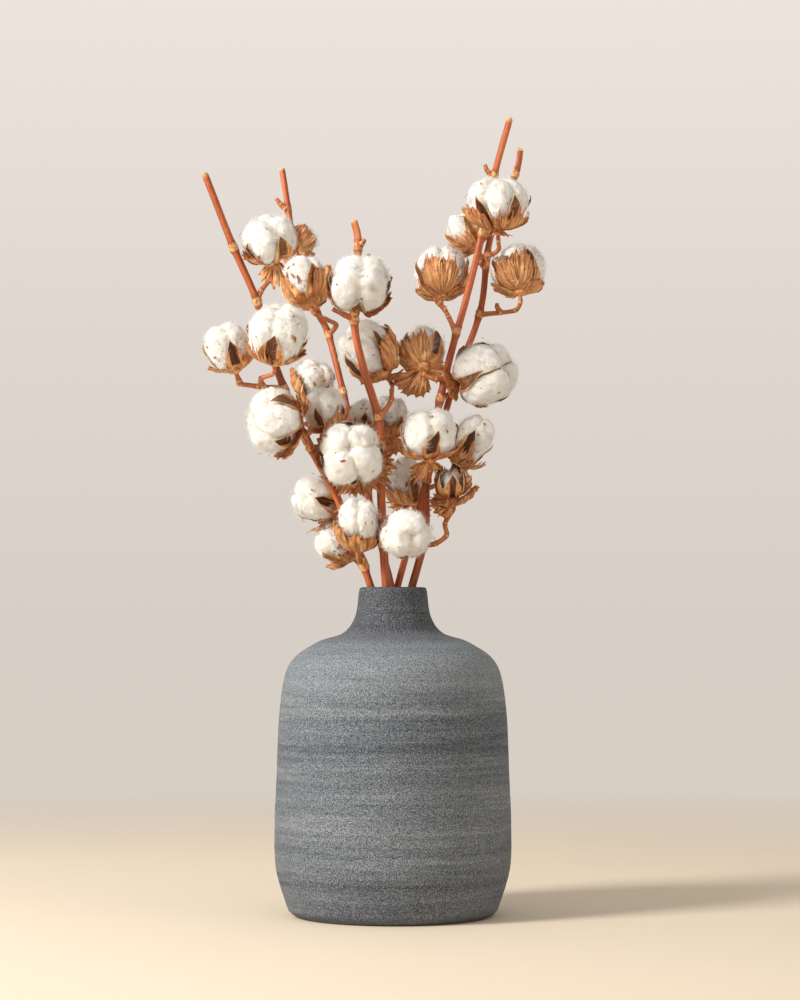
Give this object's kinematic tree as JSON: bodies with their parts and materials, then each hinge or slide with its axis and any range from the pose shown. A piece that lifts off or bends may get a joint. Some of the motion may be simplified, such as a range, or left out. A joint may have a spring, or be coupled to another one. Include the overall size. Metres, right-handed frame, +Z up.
{
  "type": "cotton stem bunch",
  "caption": "Dried cotton stems with open white bolls, standing in a matte grey-blue stoneware bottle vase.",
  "frame": {"origin": "centre of the vase's flat underside", "axes": "+Z up along the vase's axis, -Y to the front, +X to the right seen from the front"},
  "size_m": [0.2596, 0.2041, 0.605],
  "materials": {
    "stoneware": "matte grey-blue stoneware with fine dark and pale speckle and faint turning marks",
    "stem_wood": "dry reddish-brown woody stem with fine lengthwise grain and tan nodes",
    "cotton_fibre": "soft matte warm-white fibre with fuzz and small brown specks",
    "burr_husk": "dry papery tan husk, dark brown inside, with veined bracts"
  },
  "bodies": {
    "root": {"vase": "stoneware", "stem_a": "stem_wood", "stem_b": "stem_wood", "stem_c": "stem_wood", "stem_d": "stem_wood", "stem_e": "stem_wood", "boll_01_cotton": "cotton_fibre", "boll_01_burr": "burr_husk", "boll_02_cotton": "cotton_fibre", "boll_02_burr": "burr_husk", "boll_03_cotton": "cotton_fibre", "boll_03_burr": "burr_husk", "boll_04_cotton": "cotton_fibre", "boll_04_burr": "burr_husk", "boll_05_cotton": "cotton_fibre", "boll_05_burr": "burr_husk", "boll_06_cotton": "cotton_fibre", "boll_06_burr": "burr_husk", "boll_07_cotton": "cotton_fibre", "boll_07_burr": "burr_husk", "boll_08_cotton": "cotton_fibre", "boll_08_burr": "burr_husk", "boll_09_cotton": "cotton_fibre", "boll_09_burr": "burr_husk", "boll_10_cotton": "cotton_fibre", "boll_10_burr": "burr_husk", "boll_11_cotton": "cotton_fibre", "boll_11_burr": "burr_husk", "boll_12_cotton": "cotton_fibre", "boll_12_burr": "burr_husk", "boll_13_cotton": "cotton_fibre", "boll_13_burr": "burr_husk", "boll_14_cotton": "cotton_fibre", "boll_14_burr": "burr_husk", "boll_15_cotton": "cotton_fibre", "boll_15_burr": "burr_husk", "boll_16_cotton": "cotton_fibre", "boll_16_burr": "burr_husk", "boll_17_cotton": "cotton_fibre", "boll_17_burr": "burr_husk", "boll_18_cotton": "cotton_fibre", "boll_18_burr": "burr_husk", "boll_19_cotton": "cotton_fibre", "boll_19_burr": "burr_husk", "boll_20_cotton": "cotton_fibre", "boll_20_burr": "burr_husk", "boll_21_cotton": "cotton_fibre", "boll_21_burr": "burr_husk", "boll_22_cotton": "cotton_fibre", "boll_22_burr": "burr_husk", "boll_23_cotton": "cotton_fibre", "boll_23_burr": "burr_husk", "boll_24_cotton": "cotton_fibre", "boll_24_burr": "burr_husk", "boll_25_cotton": "cotton_fibre", "boll_25_burr": "burr_husk", "boll_26_cotton": "cotton_fibre", "boll_26_burr": "burr_husk", "boll_27_cotton": "cotton_fibre", "boll_27_burr": "burr_husk"}
  },
  "joints": []
}
